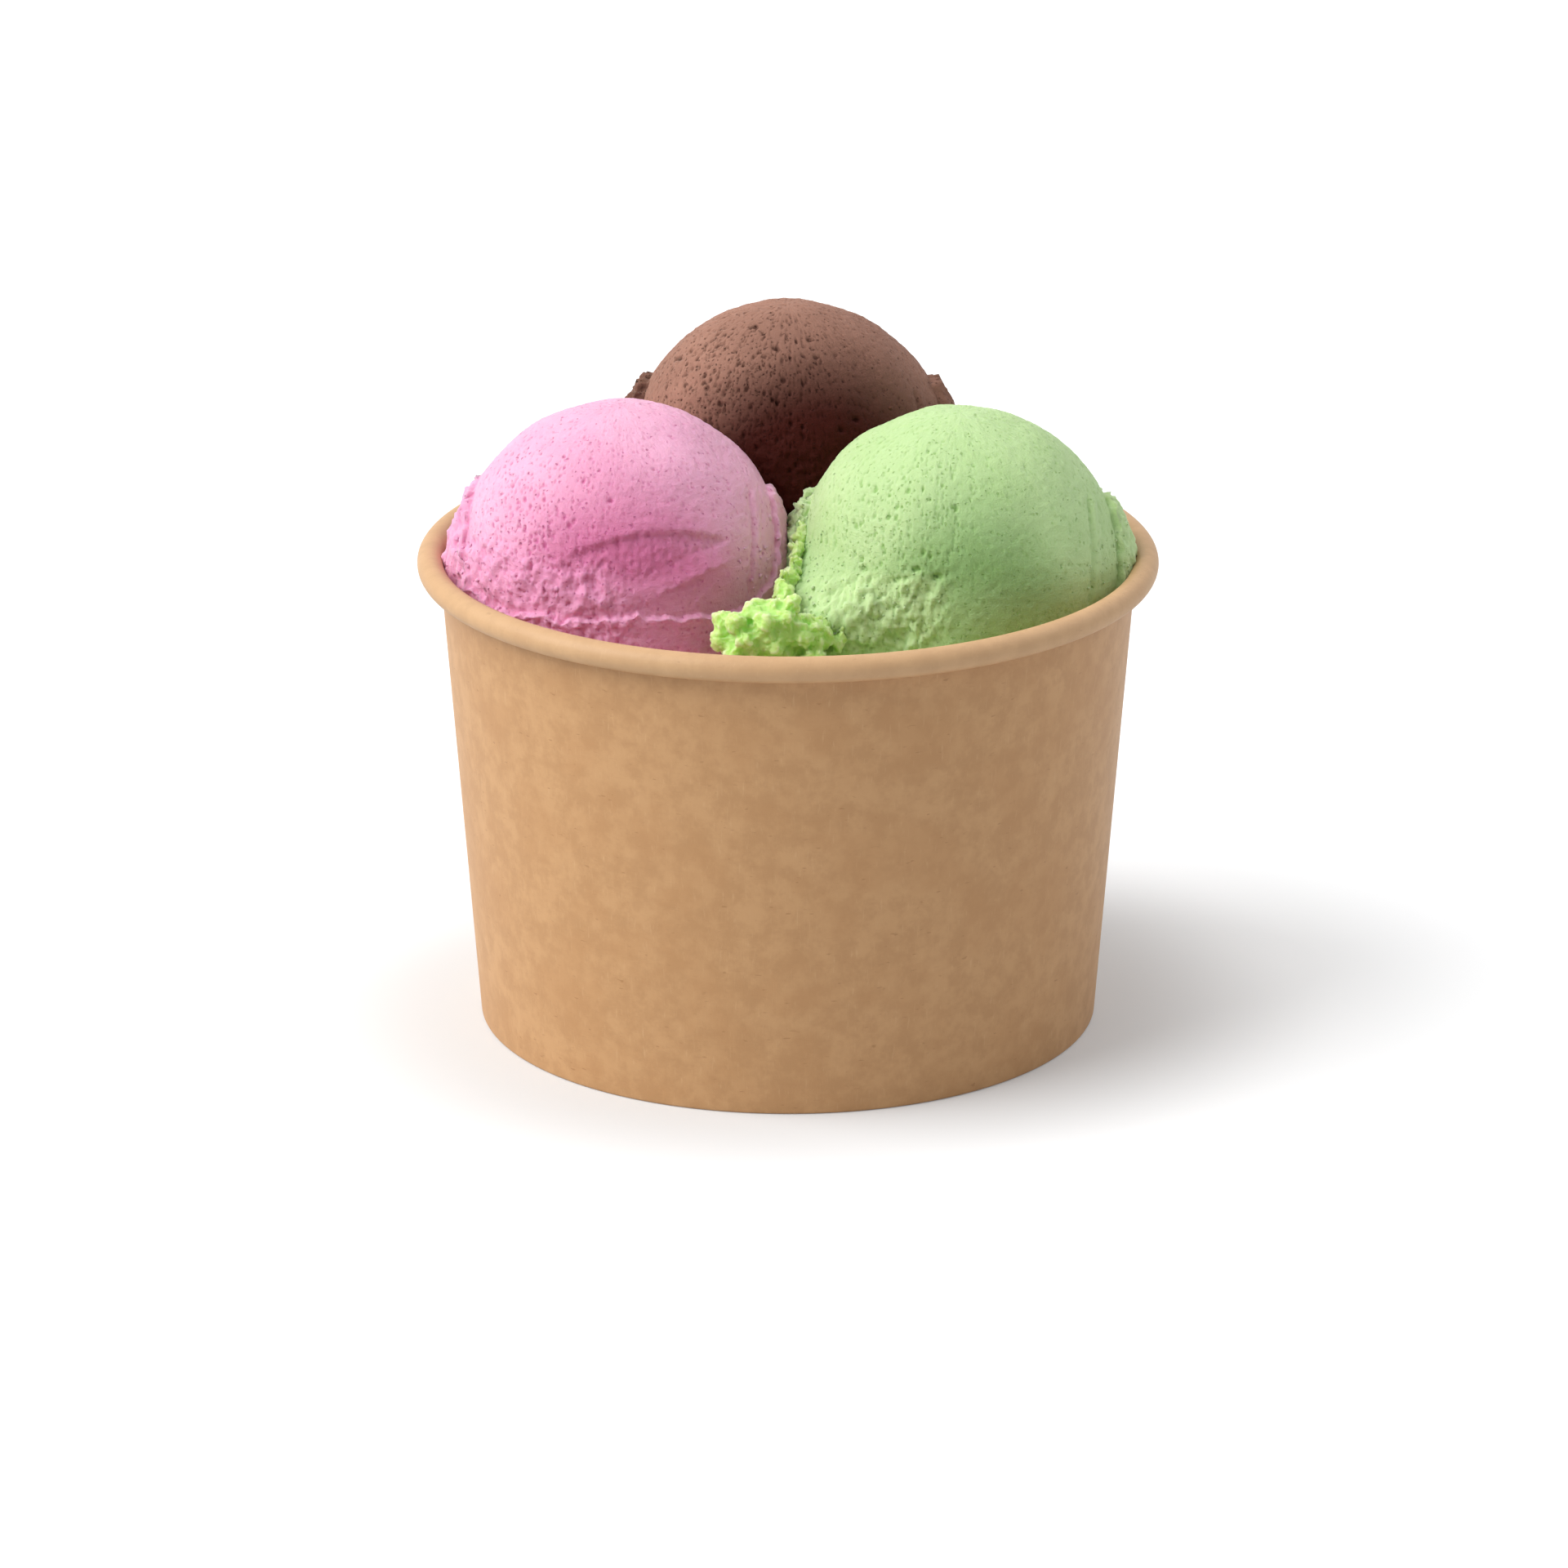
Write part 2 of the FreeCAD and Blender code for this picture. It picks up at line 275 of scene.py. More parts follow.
def bumped(tree, shader, heights):
    """Chain of bumps on a shader: each (height socket, depth in millimetres)."""
    last = None
    for height, depth in heights:
        links = {"Height": height, "Distance": depth * MM, "Strength": 1.0}
        if last:
            links["Normal"] = last
        last = add(tree, "ShaderNodeBump", links).outputs["Normal"]
    tree.links.new(last, shader.inputs["Normal"])


def kraft_board(name, light, dark):
    """Unbleached kraft board, calendered and uncoated: matt brown with cloudy fibre formation,
    short darker and paler fibres lying every way, little gloss, and paler over the rolled rim."""
    material, tree, shader, place = new_material(name)
    height = add(tree, "ShaderNodeSeparateXYZ", {0: place}).outputs["Z"]
    clouds = noise(tree, place, 3.2, 4, 0.65)
    grain = noise(tree, place, 1.1, 4, 0.7)
    upright = noise(tree, place, 0.32, 2, 0.6, (1, 1, 9))
    lying = noise(tree, place, 0.32, 2, 0.6, (6, 6, 0.7))
    patches = noise(tree, place, 9.0, 3, 0.6)
    specks = noise(tree, place, 0.9, 1, 0.5, (1.6, 1.6, 0.5))
    base = painted(tree, colour(dark), [
        (clouds, 0.35, 0.65, 1.0, light),
        (patches, 0.45, 0.65, 0.5, "#bb8c5d"),
        (specks, 0.72, 0.80, 0.45, "#9a6c3f"),
        (grain, 0.60, 0.80, 0.22, "#a97c4f"),
        (upright, 0.60, 0.78, 0.20, "#e2bd93"),
        (lying, 0.62, 0.80, 0.18, "#9c7146"),
        (height, cup_height - 3.4, cup_height - 2.6, 0.35, "#d6b690")])
    tree.links.new(base, shader.inputs["Base Color"])
    shader.inputs["Roughness"].default_value = 0.55
    shader.inputs["Specular IOR Level"].default_value = 0.45
    bumped(tree, shader, [(grain, 0.03), (upright, 0.015), (lying, 0.015)])
    return material


def ice_cream(name, lit, dense, cloud_and_hollow_shade, fleck, torn, roughness, gloss=0.3, through=0.35):
    """Churned ice cream, scooped and partly torn: its own colour where the skin is smooth, painted shade in a
    deeper colour low down on the face and down in the pits and tears, and a fine icy grain.

    The colours are hex values: lit, its own colour where it is smooth; painted shade low down; painted
    shade in the hollows and pores, also laid on faintly as a cloudy tone; torn where it is torn, with
    frozen flecks.  Light goes through it to the share given as through."""
    material, tree, shader, place = new_material(name)
    hollow, torn_here, pitted, painted_shade_here = (
        add(tree, "ShaderNodeAttribute", attribute_name=mask).outputs["Fac"]
        for mask in ("hollow", "torn", "pitted", "dense"))
    # Open pores are both bumped and painted with shade.
    pore_spacing = 0.5
    distance, chance, size = cells(tree, bent(tree, place, 3.0, 0.5), 1 / pore_spacing)
    open_cell = calc(tree, "GREATER_THAN", calc(tree, "MULTIPLY_ADD", pitted, 0.5, 0.12), chance)
    inside = calc(tree, "DIVIDE", distance, calc(tree, "MULTIPLY_ADD", size, 0.22, 0.16))
    pore = calc(tree, "MULTIPLY", ramp(tree, inside, 1.2, 0.5), open_cell)
    cloudy = noise(tree, place, 7.0, 2, 0.5)
    icy = noise(tree, place, 0.5, 3, 0.7)
    frost = noise(tree, place, 0.25, 3, 0.7)
    streaks = noise(tree, place, 0.35, 2, 0.6, (5, 5, 0.8))
    # Over the lit base: painted shade low down and in the hollows and pores, a faint cloudy tone, and the
    # torn colour where torn.
    base = painted(tree, mixed(tree, painted_shade_here, colour(lit), colour(dense)), [
        (cloudy, 0.35, 0.65, 0.12, cloud_and_hollow_shade),
        (hollow, 0.02, 0.55, 0.35, cloud_and_hollow_shade),
        (torn_here, 0.1, 0.9, 0.5, torn),
        (hollow, 0.3, 0.9, 0.35, cloud_and_hollow_shade),
        (pore, 0, 1, 0.55, cloud_and_hollow_shade)])
    # Flecks stay out of the painted shade.
    unshaded = calc(tree, "MULTIPLY_ADD", painted_shade_here, -1.0, 1.0)
    flecks = calc(tree, "MULTIPLY", unshaded, ramp(tree, icy, 0.58, 0.78, 0, 0.35))
    tree.links.new(mixed(tree, flecks, base, colour(fleck)), shader.inputs["Base Color"])
    rougher = calc(tree, "MULTIPLY_ADD", torn_here, 0.12, roughness)
    tree.links.new(rougher, shader.inputs["Roughness"])
    shader.inputs["IOR"].default_value = 1.36
    shader.inputs["Specular IOR Level"].default_value = gloss
    shader.inputs["Subsurface Weight"].default_value = through
    shader.inputs["Subsurface Radius"].default_value = (1.0, 0.9, 0.7)
    shader.inputs["Subsurface Scale"].default_value = 1.8 * MM
    bumped(tree, shader, [(pore, -0.12), (frost, 0.12), (streaks, 0.06)])
    return material


# ---- Geometry node trees: what they share ----
def new_tree(name, inputs):
    """Geometry node group with named inputs: {name: (socket kind, default)}."""
    tree = bpy.data.node_groups.new(name, "GeometryNodeTree")
    tree.interface.new_socket("Geometry", in_out="OUTPUT", socket_type="NodeSocketGeometry")
    tree.interface.new_socket("Geometry", in_out="INPUT", socket_type="NodeSocketGeometry")
    for label, (kind, default) in inputs.items():
        socket = tree.interface.new_socket(label, in_out="INPUT", socket_type="NodeSocket" + kind)
        if default is not None:
            socket.default_value = default
    return tree, tree.nodes.new("NodeGroupInput").outputs, tree.nodes.new("NodeGroupOutput")


def end_tree(tree, given, result, geometry):
    """Close a tree: make the instances real, set the material and put the geometry out."""
    real = add(tree, "GeometryNodeRealizeInstances", {"Geometry": geometry})
    finished = add(tree, "GeometryNodeSetMaterial", {
        "Geometry": real.outputs[0], "Material": given["Material"]})
    tree.links.new(finished.outputs[0], result.inputs[0])
    return tree


def named(tree, name):
    """Number stored on the points under a name."""
    return add(tree, "GeometryNodeInputNamedAttribute", {"Name": name}, data_type="FLOAT").outputs[0]


def stored(tree, geometry, name, value):
    """Geometry with a number stored on its points under a name."""
    return add(tree, "GeometryNodeStoreNamedAttribute", {
        "Geometry": geometry, "Name": name, "Value": value}, data_type="FLOAT", domain="POINT").outputs[0]


def place_in_mm(tree):
    """Position of each point, in millimetres."""
    return scaled(tree, add(tree, "GeometryNodeInputPosition").outputs[0], 1 / MM)


def pushed_out(tree, geometry, height):
    """Geometry moved along its normals by a height in millimetres."""
    normal = add(tree, "GeometryNodeInputNormal").outputs[0]
    offset = scaled(tree, normal, calc(tree, "MULTIPLY", height, MM))
    return add(tree, "GeometryNodeSetPosition", {"Geometry": geometry, "Offset": offset}).outputs[0]


def broken(tree, place, size, bend_scale, bend, small_scale, drop, small_drop):
    """Height of broken chunks of a size, with smaller ones in them; each falls off from its centre."""
    chunk_place = scaled(tree, place, calc(tree, "DIVIDE", 1.0, size))
    warped = bent(tree, chunk_place, bend_scale, bend)
    chunk = calc(tree, "MULTIPLY_ADD", cells(tree, warped, 1.0)[0], -drop, 0.5)
    return calc(tree, "MULTIPLY_ADD", cells(tree, warped, small_scale)[0], -small_drop, chunk)


# ---- The cup: one outline turned round the axis ----
def arc(centre, radius, start, end, count):
    """Points of an arc, angles in radians, both ends included."""
    angles = [start + (end - start) * i / count for i in range(count + 1)]
    return [(centre[0] + radius * math.cos(a), centre[1] + radius * math.sin(a)) for a in angles]


def straight(start, end, count):
    """Points strictly between two."""
    return [(start[0] + (end[0] - start[0]) * i / count, start[1] + (end[1] - start[1]) * i / count)
            for i in range(1, count)]


def sleeve_outline(wall_steps=46, roll_steps=44, inner_roll_steps=36, corner_steps=7):
    """Closed section of the sleeve as (radius, height), and which points are its outer face."""
    into_roll = math.pi - lean
    curl = math.radians(curl_angle)
    inside = roll_radius - board
    roll = arc(roll_centre, roll_radius, into_roll, into_roll - curl, roll_steps)
    roll += arc(roll_centre, inside, into_roll - curl, into_roll, inner_roll_steps)
    hem_inner = -3 * board - 2 * board_gap
    hem_outer = hem_inner + board
    foot_out = (wall_at(0, foot_corner) - foot_corner, foot_corner)
    foot_in = (wall_at(hem_inner, foot_corner) + foot_corner, foot_corner)
    turn_out = arc(foot_out, foot_corner, -lean, -math.pi / 2, corner_steps)
    turn_in = arc(foot_in, foot_corner, -math.pi / 2, -math.pi - lean, corner_steps)
    face = straight(roll[-1], turn_out[0], wall_steps)
    hem = [(wall_at(hem_inner, hem_height), hem_height), (wall_at(hem_outer, hem_height), hem_height),
           (wall_at(hem_outer, board), board), (wall_at(-board, board), board)]
    inner = straight(hem[-1], roll[0], wall_steps)
    points = roll + face + turn_out + turn_in + hem + inner
    outer = [0] * len(roll) + [1] * (len(face) + len(turn_out))
    return points, outer + [0] * (len(turn_in) + len(hem) + len(inner))


def turned_tree():
    """Turn an outline in the XZ plane round Z, a little out of round, with a lap down the back."""
    tree, given, result = new_tree("Turned board", {
        "Columns": ("Int", 300), "Outline points": ("Int", 100), "Out of round": ("Float", 0.1),
        "Lap width": ("Float", 7.0), "Lap step": ("Float", 0.3), "Material": ("Material", None)})
    count = given["Outline points"]
    grid = add(tree, "GeometryNodeMeshGrid", {
        "Size X": 1.0, "Size Y": 1.0, "Vertices X": calc(tree, "ADD", given["Columns"], 1.0),
        "Vertices Y": calc(tree, "ADD", count, 1.0)})
    position = add(tree, "GeometryNodeInputPosition").outputs[0]
    where = add(tree, "ShaderNodeSeparateXYZ", {0: position}).outputs
    turn = calc(tree, "MULTIPLY_ADD", where["X"], TAU, math.pi)
    row = calc(tree, "MULTIPLY", calc(tree, "ADD", where["Y"], 0.5), count)
    index = calc(tree, "FLOORED_MODULO", calc(tree, "ROUND", row), count)
    place, outer = (
        add(tree, "GeometryNodeSampleIndex", {"Geometry": given["Geometry"], "Value": value, "Index": index},
            data_type=kind).outputs[0]
        for value, kind in ((position, "FLOAT_VECTOR"), (named(tree, "outer"), "FLOAT")))
    section = add(tree, "ShaderNodeSeparateXYZ", {0: place}).outputs
    arm = add(tree, "ShaderNodeCombineXYZ", {
        0: calc(tree, "COSINE", turn), 1: calc(tree, "SINE", turn)}).outputs[0]
    uneven = add(tree, "ShaderNodeTexNoise", {"Vector": arm, "Scale": 1.1, "Detail": 1.0}).outputs["Fac"]
    wobble = calc(tree, "MULTIPLY", calc(tree, "SUBTRACT", uneven, 0.75), given["Out of round"])
    from_back = calc(tree, "MULTIPLY", calc(tree, "SUBTRACT", turn, math.pi / 2), section["X"])
    half_lap = calc(tree, "MULTIPLY", given["Lap width"], MM / 2)
    past = calc(tree, "SUBTRACT", half_lap, calc(tree, "ABSOLUTE", from_back))
    in_lap = add(tree, "ShaderNodeMapRange", {"Value": past, 2: 0.5 * MM})
    raised = calc(tree, "MULTIPLY", in_lap.outputs[0], outer)
    offset = calc(tree, "ADD", wobble, calc(tree, "MULTIPLY", raised, given["Lap step"]))
    radius = calc(tree, "MULTIPLY_ADD", offset, MM, section["X"])
    height = add(tree, "ShaderNodeCombineXYZ", {2: section["Z"]}).outputs[0]
    moved = add(tree, "GeometryNodeSetPosition", {
        "Geometry": grid.outputs["Mesh"],
        "Position": vector(tree, "ADD", scaled(tree, arm, radius), height)})
    closed = add(tree, "GeometryNodeMergeByDistance", {"Geometry": moved.outputs[0], "Distance": 0.2e-6})
    return end_tree(tree, given, result, closed.outputs[0])


def cup_sleeve(material):
    """The sleeve with its rolled rim, hem and lap."""
    points, outer = sleeve_outline()
    edges = [(i, (i + 1) % len(points)) for i in range(len(points))]
    made = mesh_object("cup_sleeve", [(r, 0, z) for r, z in points], edges=edges, attributes={"outer": outer})
    grown(made, turned_tree(), {
        "Columns": 300, "Outline points": len(points), "Out of round": out_of_round,
        "Lap width": seam_width, "Lap step": seam_step, "Material": material})
    return smooth(outward(made))


# ---- The scoops: form ----
class Scoop:
    """Where a scoop sits and how it was torn, in millimetres.  Places on its face are (a, b): to the
    right and up, as seen from the front along the forward-tipped axes.

    Each scoop gives its own
    lip: the skirt's thickness at the sides;
    tear: the face is torn below b = first + second * a, left of the third; tearing: how strongly;
    the painted shade: a darker colour low down on the face, where shade falls, by height, half
    width, slope, bend and amount;
    pits: single air pits (a, b, radius, depth);
    pitted: the finely pitted patch's place (a, b), sizes and amount."""

    def __init__(self, name, centre, radius, seed, **traits):
        self.name = name
        self.centre = np.array(centre)
        self.radius = radius
        self.seed = seed
        self.walls = []                 # upright planes (place, outward normal) that bound its third
        self.neighbours = []            # scoops that were there before it
        self.flat_wall = None           # x that its right side may not pass
        self.front_lip = 0.7            # skirt's thickness at the front
        self.ledge = (-0.4, 9.6, 3.0)   # skirt's upper edge over the centre: front, sides, back
        self.foot = 0.0                 # how far it was squeezed out at the lower left
        self.scrape = 0.0               # depth of the flat scraped off its face
        self.shade_fades_on_skirt = True          # whether the painted shade low down fades towards the skirt
        self.low_crumbs = 0.12          # share of loose crumbs at the lower left
        self.side_crumbs = 0.0          # and high up at the sides
        self.__dict__.update(traits)


front_z = cup_height - 1.0
strawberry = Scoop(
    "scoop_strawberry", (-21.3, -3.0, front_z - 0.3), 20.85, 11, scrape=0.6, flat_wall=-0.15,
    lip=0.6, front_lip=1.0, tear=(-4.0, -0.45, 2.0), tearing=0.75, dense=(9.0, 9.0, 0.0, 0.05, 0.9),
    pits=[(-0.9, 7.2, 0.55, 0.7), (-3.4, 12.6, 0.35, 0.4), (4.4, 11.2, 0.3, 0.3), (-9.5, 9.2, 0.3, 0.4),
          (-12.6, 4.1, 0.35, 0.5), (-15.5, 5.0, 0.4, 0.5)],
    pitted=(-12.0, 2.5, 8.5, 10.5, 1.0))
pistachio = Scoop(
    "scoop_pistachio", (21.7, -3.0, front_z - 1.2), 20.95, 23, foot=6.0, ledge=(-7.5, 9.6, 2.0),
    lip=0.95, tear=(-1.0, 0.0, -3.0), tearing=1.1, dense=(7.0, 9.0, 0.2, 0.085, 0.9), low_crumbs=0.6,
    pits=[(-0.9, 7.2, 0.55, 0.8), (-3.0, -1.5, 0.75, 1.0), (-5.6, -0.6, 0.6, 0.9), (-2.6, 12.4, 0.4, 0.5),
          (-18.8, -4.4, 1.1, 1.7), (12.6, 0.1, 0.3, 0.35), (13.6, 0.2, 0.35, 0.4), (14.8, 0.1, 0.25, 0.3),
          (1.6, 12.6, 0.35, 0.35), (-8.0, -1.9, 0.6, 0.8), (-12.2, -0.4, 0.5, 0.7)],
    pitted=(-9.5, 4.0, 9.5, 10.5, 0.85))
chocolate = Scoop(
    "scoop_chocolate", (0.15, 21.95, cup_height + 4.6), 21.2, 37, ledge=(-6.0, 10.8, 3.0), lip=1.0,
    tear=(1.0, 0.1, 30.0), tearing=0.6, dense=(12.5, 9.0, 0.3, 0.036, 1.0), shade_fades_on_skirt=False,
    side_crumbs=0.9,
    pits=[(2.6, 15.2, 0.5, 0.8), (-1.7, 14.0, 0.55, 0.9), (-4.4, 17.0, 0.5, 0.8), (6.0, 13.2, 0.35, 0.5),
          (-14.3, 13.0, 0.55, 0.7), (8.6, 4.6, 0.6, 0.9), (6.6, 3.2, 0.5, 0.8), (5.2, 6.4, 0.4, 0.6),
          (-1.4, 7.0, 0.35, 0.5), (10.6, 3.0, 0.45, 0.6)],
    pitted=(-7.0, 8.5, 11.0, 10.0, 1.3))
pistachio.neighbours = [strawberry]
chocolate.neighbours = [strawberry, pistachio]


def divide(near, far, distance):
    """Bound two thirds of the cup by one upright plane."""
    apart = far.centre[:2] - near.centre[:2]
    normal = apart / np.linalg.norm(apart)
    place = near.centre[:2] + normal * distance
    near.walls.append((place, normal))
    far.walls.append((place, -normal))


divide(strawberry, pistachio, 21.5)
divide(strawberry, chocolate, 21.2)
divide(pistachio, chocolate, 21.2)


def third_reach(scoop, turn, height, slack=0.15):
    """Distance from the scoop's axis to the side of its third of the cup."""
    direction = np.stack([np.cos(turn), np.sin(turn)], -1)
    here = scoop.centre[:2]
    along = direction @ here
    radius = wall_at(-board, height) - skin_gap
    reach = -along + np.sqrt(along ** 2 + radius ** 2 - here @ here)
    for place, normal in scoop.walls:
        slope = direction @ normal
        towards = slope > 1e-6
        distance = ((place - here) @ normal + slack) / np.where(towards, slope, 1)
        reach = np.minimum(reach, np.where(towards, distance, np.inf))
    return reach


def blocked(scoop, points):
    """Which points lie in the cup's board or in a scoop that is already there."""
    radius = np.hypot(points[..., 0], points[..., 1])
    height = points[..., 2]
    over = np.clip(height - roll_centre[1], 0, roll_radius)
    rim = roll_centre[0] - np.sqrt(roll_radius ** 2 - over ** 2)
    limit = np.where(height < roll_centre[1], wall_at(-board, height), rim)
    stopped = (radius > limit - skin_gap) & (height < cup_height)
    for other in scoop.neighbours:
        apart = np.linalg.norm(points - other.centre, axis=-1)
        stopped |= apart < other.radius - lap
    if scoop.flat_wall is not None:
        stopped |= points[..., 0] > scoop.flat_wall
    return stopped


def pressed(scoop, directions, wanted, march=0.4, halvings=6):
    """How far out the skin gets in each direction before it meets something."""
    def look_ahead():
        further = np.minimum(distance + march, wanted)
        return further, ~blocked(scoop, scoop.centre + directions * further[..., None])

    distance = np.full(wanted.shape, 0.4 * scoop.radius)
    growing = np.ones(wanted.shape, bool)
    while np.any(growing & (distance < wanted)):
        further, free = look_ahead()
        growing &= free
        distance = np.where(growing, further, distance)
    for _ in range(halvings):
        march /= 2
        further, free = look_ahead()
        distance = np.where(free, further, distance)
    return distance


def ragged(turn, seed, low, high):
    """Tooth-like unevenness round a scoop, from about -1 to 1, with low to high teeth a turn."""
    draw = np.random.default_rng(seed)
    total = np.zeros_like(turn)
    for _ in range(9):
        wave = np.sin(draw.integers(low, high) * turn + draw.uniform(0, TAU))
        total += np.sign(wave) * np.abs(wave) ** 1.5
    return total / 3


def ledge_tilt(scoop, turn):
    """Angle from straight up to the skirt's ragged upper edge."""
    front, side, back = scoop.ledge
    at_front = np.sin(turn) < 0
    middle = np.where(at_front, front, back)
    across = np.abs(np.cos(turn))
    share = across ** np.where(at_front, 10, 3)
    sag = 6.3 * (1 - np.sqrt(1 - 0.85 * across ** 2))
    middle = middle - sag * at_front
    height = middle * (1 - share) + side * share
    height += 0.35 * ragged(turn, scoop.seed, 5, 14) + 0.22 * ragged(turn, scoop.seed + 13, 16, 40)
    height += (0.12 + 0.25 * share) * ragged(turn, scoop.seed + 1, 50, 110)
    return np.arccos(height / scoop.radius)


def face_places(points):
    """(a, b, f) of points about a scoop's centre: right, up and towards the front, tipped forward."""
    a = points[..., 0]
    b = points[..., 2] * math.cos(lean_forward) + points[..., 1] * math.sin(lean_forward)
    f = points[..., 2] * math.sin(lean_forward) - points[..., 1] * math.cos(lean_forward)
    return a, b, f


def torn_mask(scoop, a, b, front, below):
    """Where the skin is torn: the skirt, the lower left of the face and the lumps in a scrape."""
    edge = scoop.tear[0] + scoop.tear[1] * a
    lower_left = step(edge + 1.5, edge - 2.5, b) * step(scoop.tear[2] + 4, scoop.tear[2] - 4, a) * front
    if scoop.scrape:
        lower_left = np.maximum(lower_left, 0.9 * spot(a, b, -4.5, -3.4, 3.8, 2.7, 3) * front)
    at_left = step(-0.5, -0.8, a / scoop.radius)
    # On the pistachio the right side's torn share also lays its paler torn colour over the shaded right
    # flank, which is painted light; it also tears the skirt there.
    at_right = 0.5 * step(0.7, 0.95, a / scoop.radius)
    skirt = step(-0.06, 0.02, below) * np.maximum(1.9 * at_left, np.maximum(at_right, 1.1 * (1 - front)))
    low = 0.25 * step(0.05, 0.3, below)
    return np.clip(np.maximum(lower_left, np.maximum(skirt, low)) * scoop.tearing, 0, 1.6)


def single_pits(scoop, a, b, front):
    """Depth of the scoop's single air pits, in millimetres."""
    depths = np.zeros_like(a)
    for at_a, at_b, radius, depth in scoop.pits:
        depths = np.maximum(depths, depth * spot(a, b, at_a, at_b, radius * 0.8, radius * 0.5, 3) * front)
    return depths


def groove_relief(scoop, a, b, front, points):
    """Height of the two fine grooves that the disher's edge left near the right of the face."""
    at_a = 16.9 - 0.012 * (b - 2) ** 2 + 0.1 * waves(points, 4, scoop.seed + 3)
    reach = step(-5.5, -3.5, b) * step(9.5, 8.0, b) * front
    first = -0.32 * np.exp(-((a - at_a) / 0.32) ** 2)
    raised = 0.16 * step(at_a, at_a + 0.5, a)
    second = -0.16 * np.exp(-((a - at_a - 1.15) / 0.3) ** 2)
    return (first + raised + second) * reach


def scrape_relief(scoop, a, b, front, points):
    """Height of the flat scraped off the face, the crest along its lower edge and the lumps in it."""
    top = 3.5 - 0.0165 * (a - 7.2) ** 2 + 0.10 * waves(points, 1.6, scoop.seed + 4)
    low = np.maximum(-3.6 + 0.5 * (a - 6), -5.2) + 0.3 * waves(points, 2.4, scoop.seed + 5)
    ends = step(-8.0, -4.5, a) * step(14.0, 12.6, a + 0.3 * waves(points, 1.5, scoop.seed + 6))
    hollow = step(top + 0.1, top - 0.7, b) * step(low - 0.3, low + 2.8, b) * ends * front
    flat = -scoop.scrape * (hollow + 0.12 * hollow * waves(points, 1.1, scoop.seed + 12))
    crest = 0.22 * np.exp(-((b - low + 0.5) / 0.45) ** 2) * ends * step(3, 7, a) * front
    clump = spot(a, b, -4.4, -3.4, 3.6, 2.7, 3) * front
    return flat + crest + clump * (0.35 + 0.35 * waves(points, 2.4, scoop.seed + 7))


def face_relief(scoop, a, b, front, points):
    """Height of the single features on a scoop's face over its dome."""
    relief = 0.12 * waves(points, 11, scoop.seed + 2)
    relief += groove_relief(scoop, a, b, front, points)
    relief -= 0.55 * single_pits(scoop, a, b, front)
    if scoop.scrape:
        relief += scrape_relief(scoop, a, b, front, points)
    return relief


def foot_bulge(turns, tilt):
    """Where ice cream was squeezed out at the lower left of a scoop, from 0 to 1."""
    spread = np.remainder(turns - math.radians(216) + math.pi, TAU) - math.pi
    drop = tilt - math.radians(99)
    return np.exp(-np.abs(spread / math.radians(24)) ** 3 - np.abs(drop / math.radians(16)) ** 3)


def skirt_reach(scoop, turns, tilt, below):
    """How far the torn skirt stands out from the dome."""
    under = np.clip(below, 0, None)
    side = np.abs(np.cos(turns)) ** 4
    teeth = ragged(turns, scoop.seed + 8, 40, 110)
    lip = (scoop.lip * side + scoop.front_lip * (1 - side)) * (
        1 + 0.3 * teeth * (0.4 + 0.6 * side) * np.exp(-under / 0.15))
    hanging = side + (1 - side) * np.exp(-under / math.radians(5))
    upright = 1 / np.sin(np.clip(tilt, math.pi / 2, 2.2)) - 1
    flare = scoop.radius * (upright + 0.13 * np.clip(below, 0, 0.5))
    return np.where(below > 1e-9, (lip * hanging + flare) * step(0, 0.022, below), 0)


def skin_masks(scoop, a, b, front, below, torn, free):
    """Masks of a scoop's skin: torn, pitted, the painted shade low down, and sunk; free is 0 where it was
    pressed in.
    """
    at_a, at_b, size_a, size_b, strength = scoop.pitted
    pitted = strength * spot(a, b, at_a, at_b, size_a, size_b) * (1 - 0.5 * torn) * front
    pitted = pitted + 0.35 * spot(a, b, -3, 4, 12, 12) * (1 - front)
    # Painted shade: the colour darkens low down on the face, where shade falls.
    start, width, slope, bend, amount = scoop.dense
    dense = amount * step(start + width, start - width, b - slope * a + bend * a ** 2) * front
    # Less painted shade on the skirt, low on the face and where it is torn, lightening that band.
    if scoop.shade_fades_on_skirt:
        dense = dense * (1 - 0.7 * np.maximum(step(0.05, 0.2, below), step(0, -9, b))) * (1 - 0.5 * torn)
    sunk = np.minimum(1.3 * single_pits(scoop, a, b, front), 1)
    return np.stack([torn, pitted * free, dense, sunk], -1)


def ring_at(scoop, turn, radius, height):
    """Level ring round a scoop's axis."""
    return np.stack([scoop.centre[0] + radius * np.cos(turn), scoop.centre[1] + radius * np.sin(turn),
                     np.full_like(radius, height)], -1)


def packed_rings(scoop, turn, neck, bottom, count=22):
    """Rings of the packed ice cream's top, from the scoop's neck out to the sides of its third, and
    of those sides down to the bottom; with the masks of each: torn, pitted, painted shade and sunk."""
    rings = []
    masks = []
    edge = third_reach(scoop, turn, fill_level)
    neck = np.minimum(neck, 0.95 * edge)
    for share in np.linspace(0, 1, count + 1)[1:]:
        ring = ring_at(scoop, turn, neck + (edge - neck) * share, 0.0)
        churned = 0.55 * waves(ring, 9, 5) * min(1, 4 * share)
        ring[:, 2] = fill_level + fillet * (1 - share) ** 2 + churned
        rings.append(ring[None])
        # The packed ice cream between the scoops gets half the painted shade.
        masks.append(np.broadcast_to([0.6, 0.0, 0.5, 0.0], (1, len(turn), 4)))
    side_top = fill_level - 1.2
    for share in (0.1, 1.0):
        height = side_top + (bottom - side_top) * share
        rings.append(ring_at(scoop, turn, third_reach(scoop, turn, height), height)[None])
        masks.append(np.zeros((1, len(turn), 4)))
    return rings, masks


